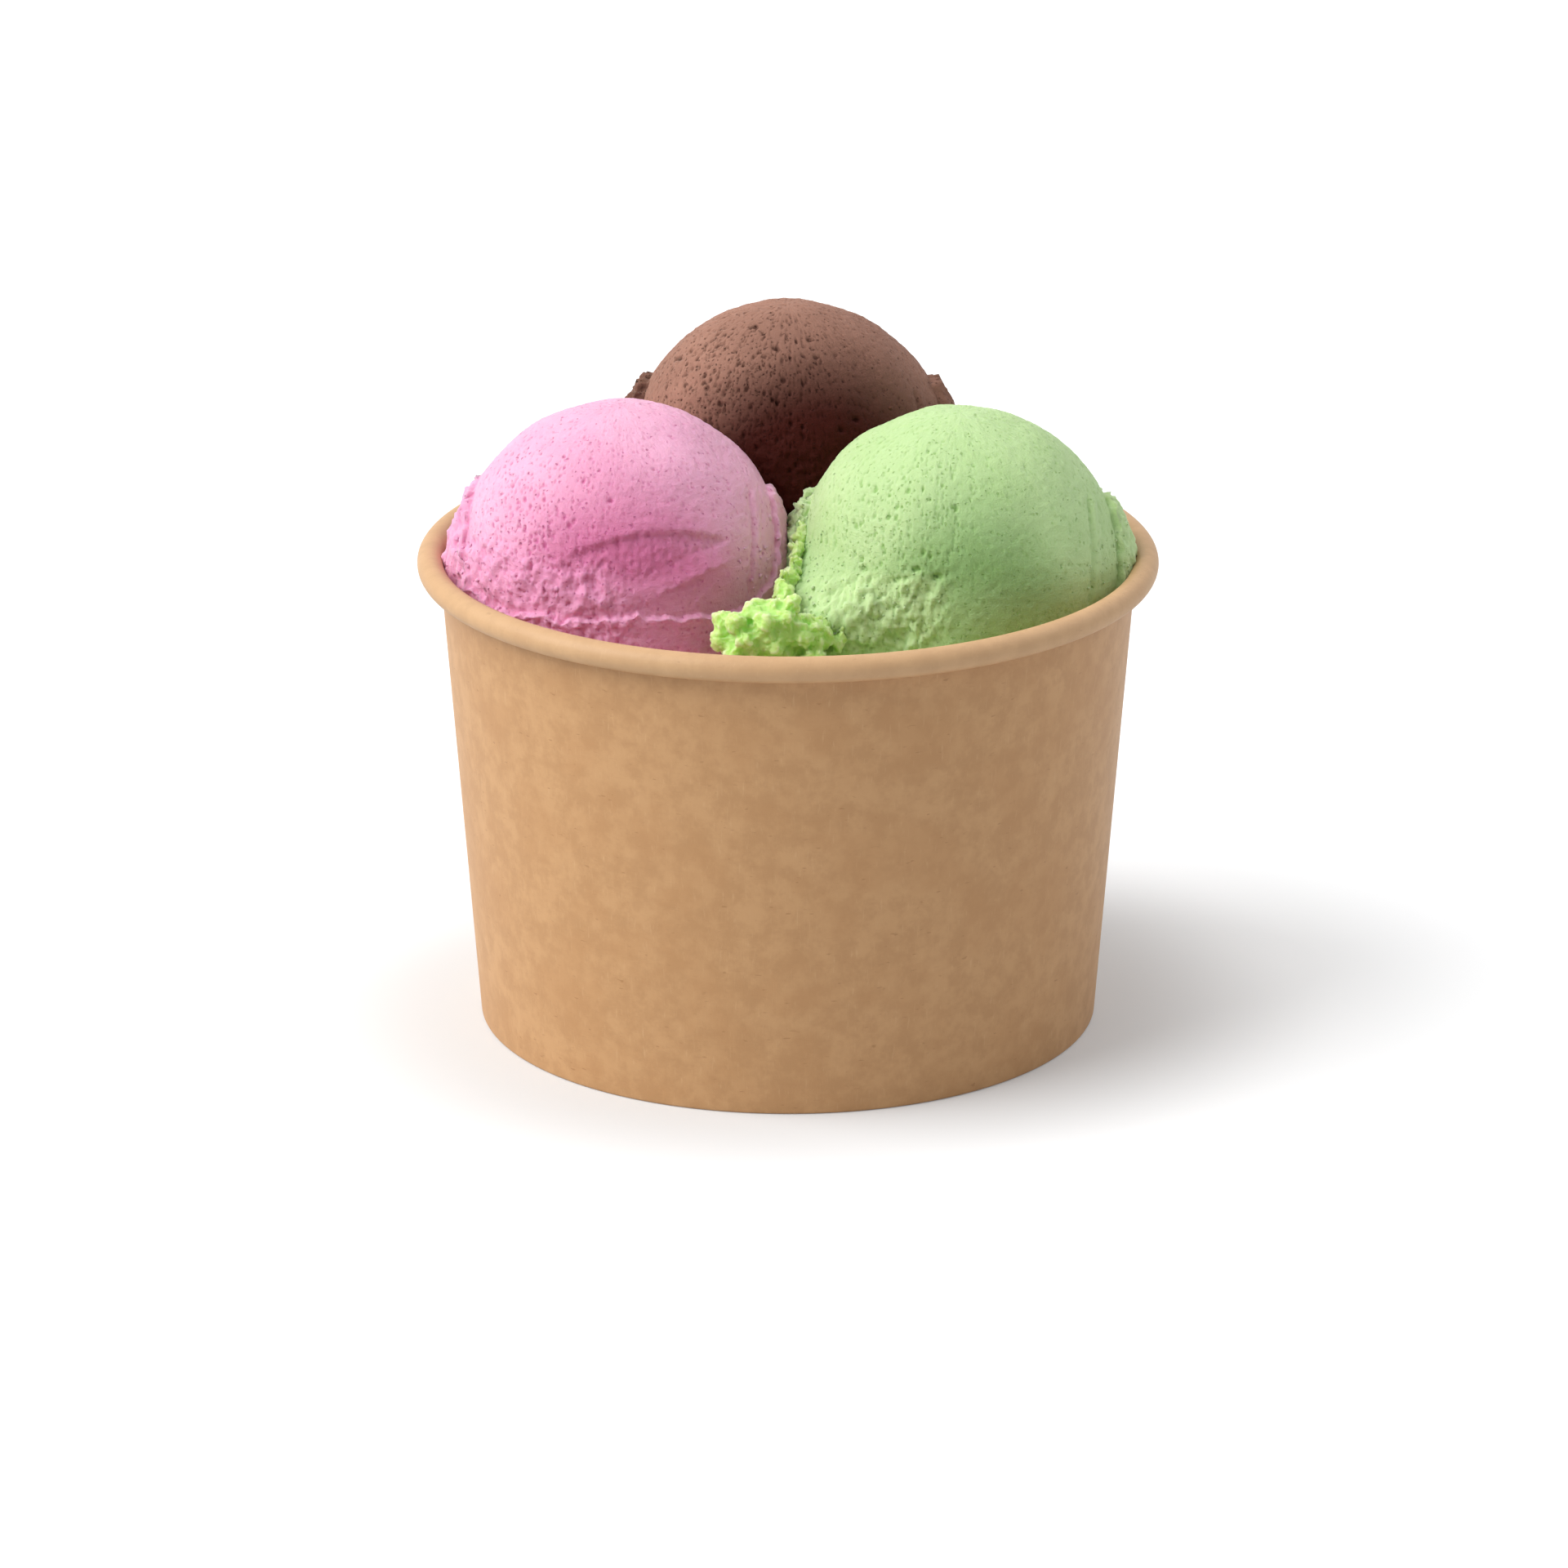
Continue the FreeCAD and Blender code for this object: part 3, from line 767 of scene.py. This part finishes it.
def closed_faces(rows, columns):
    """Faces of a closed skin of rings, with a point over the first and one under the last."""
    beside = [(column + 1) % columns for column in range(columns)]
    last = (rows - 1) * columns
    top = rows * columns
    faces = [(here + column, here + columns + column, here + columns + beside[column], here + beside[column])
             for here in range(0, last, columns) for column in range(columns)]
    for column in range(columns):
        faces.append((top, column, beside[column]))
        faces.append((top + 1, last + beside[column], last + column))
    return faces


def scoop_mesh(scoop, columns=500, dome_rows=118, band_rows=46):
    """Fine closed skin of one scoop and the packed ice cream under it, with its masks."""
    even = np.arange(columns) / columns * TAU
    turn = even - 0.35 * np.cos(even)    # finer towards the front
    ledge = ledge_tilt(scoop, turn)
    neck_tilt = math.acos((fill_level + fillet - scoop.centre[2]) / scoop.radius)
    down = (np.arange(1, dome_rows + 1) / dome_rows)[:, None]
    dome_tilt = ledge[None] * down ** 0.9
    across = (np.arange(1, band_rows + 1) / band_rows)[:, None]
    band_tilt = ledge[None] + (neck_tilt - ledge[None]) * (0.35 * across + 0.65 * across ** 2)
    tilt = np.concatenate([dome_tilt, band_tilt])
    turns = np.broadcast_to(turn, tilt.shape)
    below = tilt - ledge[None]
    directions = np.stack([np.cos(turns) * np.sin(tilt), np.sin(turns) * np.sin(tilt), np.cos(tilt)], -1)
    points = directions * scoop.radius
    a, b, f = face_places(points)
    front = step(-5, 3, f)

    torn = torn_mask(scoop, a, b, front, below)
    wanted = scoop.radius + skirt_reach(scoop, turns, tilt, below) + face_relief(scoop, a, b, front, points)
    wanted = wanted + scoop.foot * foot_bulge(turns, tilt)
    lumpy = 0.18 * waves(points, 4.0, scoop.seed + 9) + 0.12 * waves(points, 1.9, scoop.seed + 10)
    wanted = wanted + torn * lumpy
    distance = pressed(scoop, directions, wanted)
    skin = scoop.centre + directions * distance[..., None]

    mask = skin_masks(scoop, a, b, front, below, torn, step(0.6, 0.0, wanted - distance))

    bottom = base_top + bottom_gap
    neck = np.hypot(*(skin[-1] - scoop.centre)[:, :2].T)
    rings, ring_masks = packed_rings(scoop, turn, neck, bottom)
    skin = np.concatenate([skin, *rings])
    mask = np.concatenate([mask, *ring_masks])
    top = scoop.centre + np.array([0, 0, distance[0].mean()])
    foot = np.array([scoop.centre[0], scoop.centre[1], bottom])
    vertices = np.concatenate([skin.reshape(-1, 3), [top, foot]])
    mask = np.concatenate([mask.reshape(-1, 4), np.zeros((2, 4))])
    return mesh_object(scoop.name.replace("scoop", "ice_cream"), vertices, closed_faces(len(skin), columns),
                       attributes=dict(zip(("torn", "pitted", "dense", "sunk"), mask.T)))


# ---- The scoops: relief and loose bits, by geometry nodes ----
def relief_tree():
    """Air pits where 'pitted' asks for them, torn chunks where 'torn' does, and a churned grain."""
    tree, given, result = new_tree("Ice cream relief", {
        "Pit spacing": ("Float", 0.85), "Pit depth": ("Float", 0.35), "Chunk size": ("Float", 1.15),
        "Chunk height": ("Float", 0.5), "Grain": ("Float", 0.16), "Seed": ("Float", 0.0),
        "Material": ("Material", None)})
    seed = given["Seed"]
    shift = add(tree, "ShaderNodeCombineXYZ", {0: seed, 1: 7.0, 2: seed}).outputs[0]
    place = vector(tree, "ADD", place_in_mm(tree), shift)
    torn = named(tree, "torn")
    pitted = named(tree, "pitted")
    bent_place = bent(tree, place, 1.4, 0.45)

    # Two sizes of air pit, each in some of its cells only
    pit_place = vector(tree, "MULTIPLY", bent_place, (1.0, 1.0, 0.7))
    wanted = calc(tree, "MULTIPLY", pitted, 0.55)
    pits = 0.0
    for share in (1.0, 0.62):
        scale = calc(tree, "DIVIDE", 1 / share, given["Pit spacing"])
        distance, chance, size = cells(tree, pit_place, scale)
        chosen = ramp(tree, calc(tree, "SUBTRACT", wanted, chance), 0.0, 0.08)
        radius = calc(tree, "MULTIPLY_ADD", size, 0.25, 0.2)
        inside = ramp(tree, calc(tree, "DIVIDE", distance, radius), 1.25, 0.35)
        pit = calc(tree, "MULTIPLY", calc(tree, "MULTIPLY", chosen, inside), share)
        pits = calc(tree, "MAXIMUM", pits, pit)

    # Torn chunks, lying on a broad unevenness
    chunk = broken(tree, place, given["Chunk size"], 1.3, 1.1, 2.3, 1.1, 0.45)
    broad = calc(tree, "MULTIPLY_ADD", noise(tree, place, 3.2, 2, 0.55), 1.2, -0.45)
    chunk = calc(tree, "MULTIPLY", calc(tree, "ADD", chunk, broad), torn)
    chunk = calc(tree, "MULTIPLY", chunk, given["Chunk height"])

    # Churned grain with fine pores
    pore_spacing = 0.62
    distance, chance, _ = cells(tree, bent_place, 1 / pore_spacing)
    rim = calc(tree, "SUBTRACT", distance, calc(tree, "MULTIPLY", chance, 0.42))
    pores = ramp(tree, rim, -0.12, 0.16, -1.7, 0.0)
    churned = calc(tree, "MULTIPLY_ADD", noise(tree, place, 1.0, 2, 0.7, (1.5, 1.5, 0.8)), 2.4, -1.2)
    porous = calc(tree, "MULTIPLY", pores, calc(tree, "MULTIPLY_ADD", pitted, 0.8, 0.3))
    strength = calc(tree, "MULTIPLY", given["Grain"], calc(tree, "MULTIPLY_ADD", torn, 0.8, 1.0))
    grain = calc(tree, "MULTIPLY", calc(tree, "ADD", churned, porous), strength)

    sunk = calc(tree, "MULTIPLY", pits, given["Pit depth"])
    height = calc(tree, "SUBTRACT", calc(tree, "ADD", chunk, grain), sunk)
    # Hollow marks the pits, chunk recesses, pores and single pits, where the material paints shade.
    hollow = calc(tree, "MAXIMUM", pits, ramp(tree, chunk, 0.0, -0.6, 0.0, 0.6))
    hollow = calc(tree, "MAXIMUM", hollow, calc(tree, "MULTIPLY", pores, -0.25))
    hollow = calc(tree, "MAXIMUM", hollow, named(tree, "sunk"))
    skin = stored(tree, given["Geometry"], "hollow", hollow)
    return end_tree(tree, given, result, pushed_out(tree, skin, height))


def crumb_tree():
    """Loose crumbs lying where 'crumbly' asks for them, each a turned and uneven copy of one lump."""
    tree, given, result = new_tree("Ice cream crumbs", {
        "Density": ("Float", 3e5), "Smallest": ("Float", 0.25), "Largest": ("Float", 0.9),
        "Lump": ("Object", None), "Seed": ("Int", 1), "Material": ("Material", None)})
    seed = given["Seed"]
    density = calc(tree, "MULTIPLY", named(tree, "crumbly"), given["Density"])
    spread = add(tree, "GeometryNodeDistributePointsOnFaces", {
        "Mesh": given["Geometry"], "Density": density, "Seed": seed}, distribute_method="RANDOM")
    lump = add(tree, "GeometryNodeObjectInfo", {"Object": given["Lump"]})
    turned, unequal = (
        add(tree, "FunctionNodeRandomValue", {0: least, 1: most, "Seed": draw},
            data_type="FLOAT_VECTOR").outputs[0]
        for least, most, draw in (((0, 0, 0), (TAU, TAU, TAU), seed), ((0.7, 0.7, 0.7), (1.3, 1.2, 1.0), 5)))
    share = add(tree, "FunctionNodeRandomValue", {2: 0.0, 3: 1.0, "Seed": seed}, data_type="FLOAT")
    small = calc(tree, "POWER", share.outputs[1], 2.5)
    size = add(tree, "ShaderNodeMapRange", {"Value": small, 3: given["Smallest"], 4: given["Largest"]})
    placed = add(tree, "GeometryNodeInstanceOnPoints", {
        "Points": spread.outputs["Points"], "Instance": lump.outputs["Geometry"],
        "Rotation": turned, "Scale": scaled(tree, unequal, size.outputs[0])})
    return end_tree(tree, given, result, placed.outputs[0])


def clod_tree():
    """Soft clods run together from balls at the points of a mesh, then roughened."""
    tree, given, result = new_tree("Ice cream clods", {
        "Cell": ("Float", 0.25), "Chunk size": ("Float", 1.75), "Chunk height": ("Float", 0.85),
        "Material": ("Material", None)})
    radius = calc(tree, "MULTIPLY", named(tree, "size"), MM)
    cell = calc(tree, "MULTIPLY", given["Cell"], MM)
    balls = add(tree, "GeometryNodeMeshToPoints", {"Mesh": given["Geometry"], "Radius": radius})
    volume = add(tree, "GeometryNodePointsToVolume", {
        "Points": balls.outputs[0], "Voxel Size": cell, "Radius": radius}, resolution_mode="VOXEL_SIZE")
    skin = add(tree, "GeometryNodeVolumeToMesh", {
        "Volume": volume.outputs[0], "Voxel Size": cell, "Threshold": 0.1}, resolution_mode="VOXEL_SIZE")
    chunk = broken(tree, place_in_mm(tree), given["Chunk size"], 1.2, 1.2, 2.2, 1.2, 0.5)
    height = calc(tree, "MULTIPLY", chunk, given["Chunk height"])
    # Hollow marks the recesses between the chunks, where the material paints shade.
    roughened = stored(tree, skin.outputs[0], "hollow", ramp(tree, height, 0.05, -0.35))
    roughened = stored(tree, roughened, "torn", 0.6)
    return end_tree(tree, given, result, pushed_out(tree, roughened, height))


def clod_heap(name, material):
    """The crumbled heap squeezed out at the pistachio scoop's foot, leaning on the strawberry one."""
    draw = np.random.default_rng(41)
    # Balls along each line: start, end, how far they stray, smallest and largest radius, how many
    spines = (((-6.4, -26.2, 58.6), (-0.5, -24.5, 60.2), 2.9, 1.1, 2.0, 90),
              ((-1.2, -23.8, 60.5), (-0.6, -16.5, 63.4), 1.0, 0.6, 1.1, 34),
              ((0.2, -17.0, 62.6), (1.9, -6.0, 67.0), 0.9, 0.4, 0.95, 60),
              ((-3.0, -25.5, 57.0), (3.5, -23.0, 58.4), 2.4, 0.9, 1.6, 60),
              ((0.0, -22.0, 59.5), (7.0, -23.0, 57.8), 1.5, 0.5, 1.1, 50),
              ((-5.0, -27.0, 52.0), (4.0, -25.5, 53.0), 3.0, 1.2, 2.2, 90))
    furthest_out = 42
    centres = []
    sizes = []
    for start, end, spread, small, large, count in spines:
        for _ in range(count):
            spine = np.array(start) + (np.array(end) - start) * draw.uniform(0, 1)
            aside = draw.normal(size=3)
            centre = spine + aside * draw.uniform(0.5, 1.0) * spread / np.linalg.norm(aside)
            size = draw.uniform(small, large)
            if math.hypot(centre[0], centre[1]) + size < furthest_out:
                centres.append(centre)
                sizes.append(size)
    made = mesh_object(name, centres, attributes={"size": sizes})
    return grown(made, clod_tree(), {"Cell": 0.22, "Material": material})


def uneven_lump(name, seed):
    """A lump 1 mm across with 20 faces, knocked out of round."""
    draw = np.random.default_rng(seed)
    work = bmesh.new()
    bmesh.ops.create_icosphere(work, subdivisions=1, radius=0.5 * MM)
    for vertex in work.verts:
        vertex.co *= 1 + 0.22 * draw.uniform(-1, 1)
    mesh = bpy.data.meshes.new(name)
    work.to_mesh(mesh)
    work.free()
    return smooth(in_scene(name, mesh))


def crumbly_mask(scoop, points):
    """Where loose crumbs lie on one scoop's skin: along the skirt and in the torn lower left."""
    offset = points / MM - scoop.centre
    a, b, f = face_places(offset)
    up = offset[:, 2]
    across = np.abs(a) / scoop.radius
    here = step(0.62, 0.9, across) * step(9, 4, up) * step(-6, -2, up) * 0.8
    here = here + spot(a, b, -9, -4.5, 8, 3.5) * step(0, 8, f) * scoop.low_crumbs
    here = here + scoop.side_crumbs * step(0.5, 0.8, across) * step(13, 4, up)
    above_rim = points[:, 2] / MM > cup_height - 3
    on_dome = np.linalg.norm(offset, axis=1) - scoop.radius > -1.5
    return np.clip(here, 0, 1) * above_rim * on_dome


def coordinates(mesh):
    """Points of a mesh as an array."""
    found = np.empty(len(mesh.vertices) * 3, dtype=np.float32)
    mesh.vertices.foreach_get("co", found)
    return found.reshape(-1, 3)


def keep_in_box(made, margin=0.01 * MM):
    """Keep a piece inside the CAD model's own box."""
    found = coordinates(made.data)
    low = np.array(cad_low) + margin
    high = np.array(cad_high) - margin
    made.data.vertices.foreach_set("co", np.clip(found, low, high).ravel())
    made.data.update()
    return made


def ice_cream_scoop(scoop, relief, crumbs, lump, material, values):
    """One scoop with its relief, and the loose crumbs on it as a second piece."""
    made = smooth(outward(scoop_mesh(scoop)))
    grown(made, relief, {**values, "Seed": float(scoop.seed), "Material": material})
    smooth(outward(keep_in_box(made)))
    loose = in_scene(made.name + "_crumbs", made.data.copy())
    set_numbers(loose.data, "crumbly", crumbly_mask(scoop, coordinates(loose.data)))
    grown(loose, crumbs, {"Seed": scoop.seed, "Lump": lump, "Material": material})
    return made, keep_in_box(loose)


# ---- The object ----
kraft = kraft_board("Kraft board, unbleached, matt", light="#c89b6c", dark="#bc8f61")
# In each ice cream below, the colour for low down and the colour for the hollows are painted shade.
pink = ice_cream(
    "Strawberry ice cream, churned", lit="#f4b6d3", dense="#d4729f", cloud_and_hollow_shade="#cb5e96", fleck="#fbd6e8",
    torn="#ee9fc8", roughness=0.55)
green = ice_cream(
    "Pistachio ice cream, churned", lit="#bedb9e", dense="#88ae6e", cloud_and_hollow_shade="#8cb860", fleck="#d6ecb4",
    torn="#d2edae", roughness=0.55)
# A lighter copy of the pistachio ice cream for the heap: painted light, lifting the heap out of the shade it
# lies in.
bright = ice_cream(
    "Pistachio ice cream, freshly torn", lit="#d4f4a6", dense="#c4e690", cloud_and_hollow_shade="#b4ea66",
    fleck="#e2f9c0", torn="#d8f7ac", roughness=0.50, through=0.8)
# Chocolate: the darker colour low down and the torn colour, which covers its torn lower front, are both
# painted shade.
brown = ice_cream(
    "Chocolate ice cream, churned", lit="#a57b6a", dense="#3c120b", cloud_and_hollow_shade="#2c0c07", fleck="#b8907e",
    torn="#33110b", roughness=0.6, gloss=0.12, through=0.1)

sleeve = cup_sleeve(kraft)
keep_in_box(sleeve)
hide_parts("cup_wall")
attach(sleeve, "root")

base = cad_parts["cup_base"]
base.data.materials.clear()
base.data.materials.append(kraft)

relief = relief_tree()
crumbs = crumb_tree()
lump = uneven_lump("crumb_lump", 3)
finishes = (
    (strawberry, pink, "strawberry_ice_cream", {"Pit depth": 0.30, "Chunk height": 0.45}),
    (pistachio, green, "pistachio_ice_cream", {"Pit depth": 0.30, "Chunk height": 0.72, "Chunk size": 1.0}),
    (chocolate, brown, "chocolate_ice_cream", {"Pit depth": 0.35, "Chunk height": 0.6}))
for scoop, material, slot, values in finishes:
    made, loose = ice_cream_scoop(scoop, relief, crumbs, lump, material, values)
    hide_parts(scoop.name)
    for piece in (made, loose):
        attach(piece, "root")

bpy.data.objects.remove(lump)

heap = smooth(outward(clod_heap("ice_cream_pistachio_heap", bright)))
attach(heap, "root")

# ---- Stage: white floor, soft key from the front left, camera ----
room_light = 0.36               # how strongly the white room lights the object
glow_near, glow_far = 0.12, 0.40  # the floor's own light as the camera sees it, weaker near the cup: painted light that lightens the cast shadow away from the cup
glow_reach = (0.042, 0.074)     # metres from the cup's axis where that painted light goes from near to far
floor_half = 3000               # this and the rest in millimetres
lamp_target = (0, 0, 40)
lamp_distance = 1500
camera_target = (-0.51, 0, 30.15)
camera_distance = 990
camera_rise = 19.15             # degrees above level


def aimed(made, place, target):
    """Stand an object at a place, in millimetres, looking at a target."""
    from_here = np.array(target) - np.array(place)
    made.location = np.array(place) * MM
    level = math.hypot(from_here[0], from_here[1])
    made.rotation_euler = (math.atan2(level, -from_here[2]), 0, math.atan2(-from_here[0], from_here[1]))
    return made


def around(turn, rise, distance, target):
    """Place at a turn from the front, in degrees towards the right, and a rise above the table."""
    level = distance * math.cos(math.radians(rise))
    return (target[0] + level * math.sin(math.radians(turn)),
            target[1] - level * math.cos(math.radians(turn)),
            target[2] + distance * math.sin(math.radians(rise)))


def wide_sun(name, turn, rise, spread, strength, tint):
    """Sun as wide as a softbox, spread degrees across."""
    lamp = bpy.data.lights.new(name, "SUN")
    lamp.angle = math.radians(spread)
    lamp.energy = strength
    lamp.color = colour(tint)[:3]
    return aimed(in_scene(name, lamp), around(turn, rise, lamp_distance, lamp_target), lamp_target)


def seen_rays(tree):
    """1 for camera, mirror and glass rays, 0 for the rays that light the object."""
    path = add(tree, "ShaderNodeLightPath").outputs
    seen = calc(tree, "MAXIMUM", path["Is Camera Ray"], path["Is Glossy Ray"])
    return calc(tree, "MAXIMUM", seen, path["Is Transmission Ray"])


wide_sun("Key", -76, rise=44, spread=50, strength=3.15, tint="#fffefd")
wide_sun("Fill", 108, rise=38, spread=45, strength=0.58, tint="#f8fbff")
wide_sun("Back", 180, rise=60, spread=60, strength=0.40, tint="#ffffff")

world = bpy.data.worlds.new("White room")
bpy.context.scene.world = world
sky_tree = bare_tree(world)
strength = calc(sky_tree, "MULTIPLY_ADD", seen_rays(sky_tree), 1 - room_light, room_light)
sky = add(sky_tree, "ShaderNodeBackground", {"Color": (1, 1, 1, 1), "Strength": strength})
add(sky_tree, "ShaderNodeOutputWorld", {"Surface": sky.outputs[0]})

paper = bpy.data.materials.new("White paper backdrop")
floor_tree = bare_tree(paper)
matt = add(floor_tree, "ShaderNodeBsdfDiffuse", {"Color": (0.67, 0.68, 0.69, 1)})
floor_place = add(floor_tree, "ShaderNodeTexCoord").outputs["Object"]
from_cup = add(floor_tree, "ShaderNodeVectorMath", {0: floor_place}, operation="LENGTH").outputs["Value"]
# Painted light on the floor: its own light grows away from the cup, lightening the far part of the cast
# shadow.
lifted = ramp(floor_tree, from_cup, *glow_reach, glow_near, glow_far)
glow = add(floor_tree, "ShaderNodeEmission", {
    "Color": (1, 1, 1, 1), "Strength": calc(floor_tree, "MULTIPLY", seen_rays(floor_tree), lifted)})
both = add(floor_tree, "ShaderNodeAddShader", {0: matt.outputs[0], 1: glow.outputs[0]})
add(floor_tree, "ShaderNodeOutputMaterial", {"Surface": both.outputs[0]})
corners = [(x * floor_half, y * floor_half, 0) for x, y in ((-1, -1), (1, -1), (1, 1), (-1, 1))]
floor = mesh_object("floor", corners, [(0, 1, 2, 3)])
floor.data.materials.append(paper)

lens = bpy.data.cameras.new("Camera")
lens.sensor_width = 36
lens.lens = 175.58
lens.clip_start = 0.05
lens.clip_end = 20
camera_place = around(0, camera_rise, camera_distance, camera_target)
camera = aimed(in_scene("Camera", lens), camera_place, camera_target)
bpy.context.scene.camera = camera
bpy.context.scene.view_settings.view_transform = "Standard"
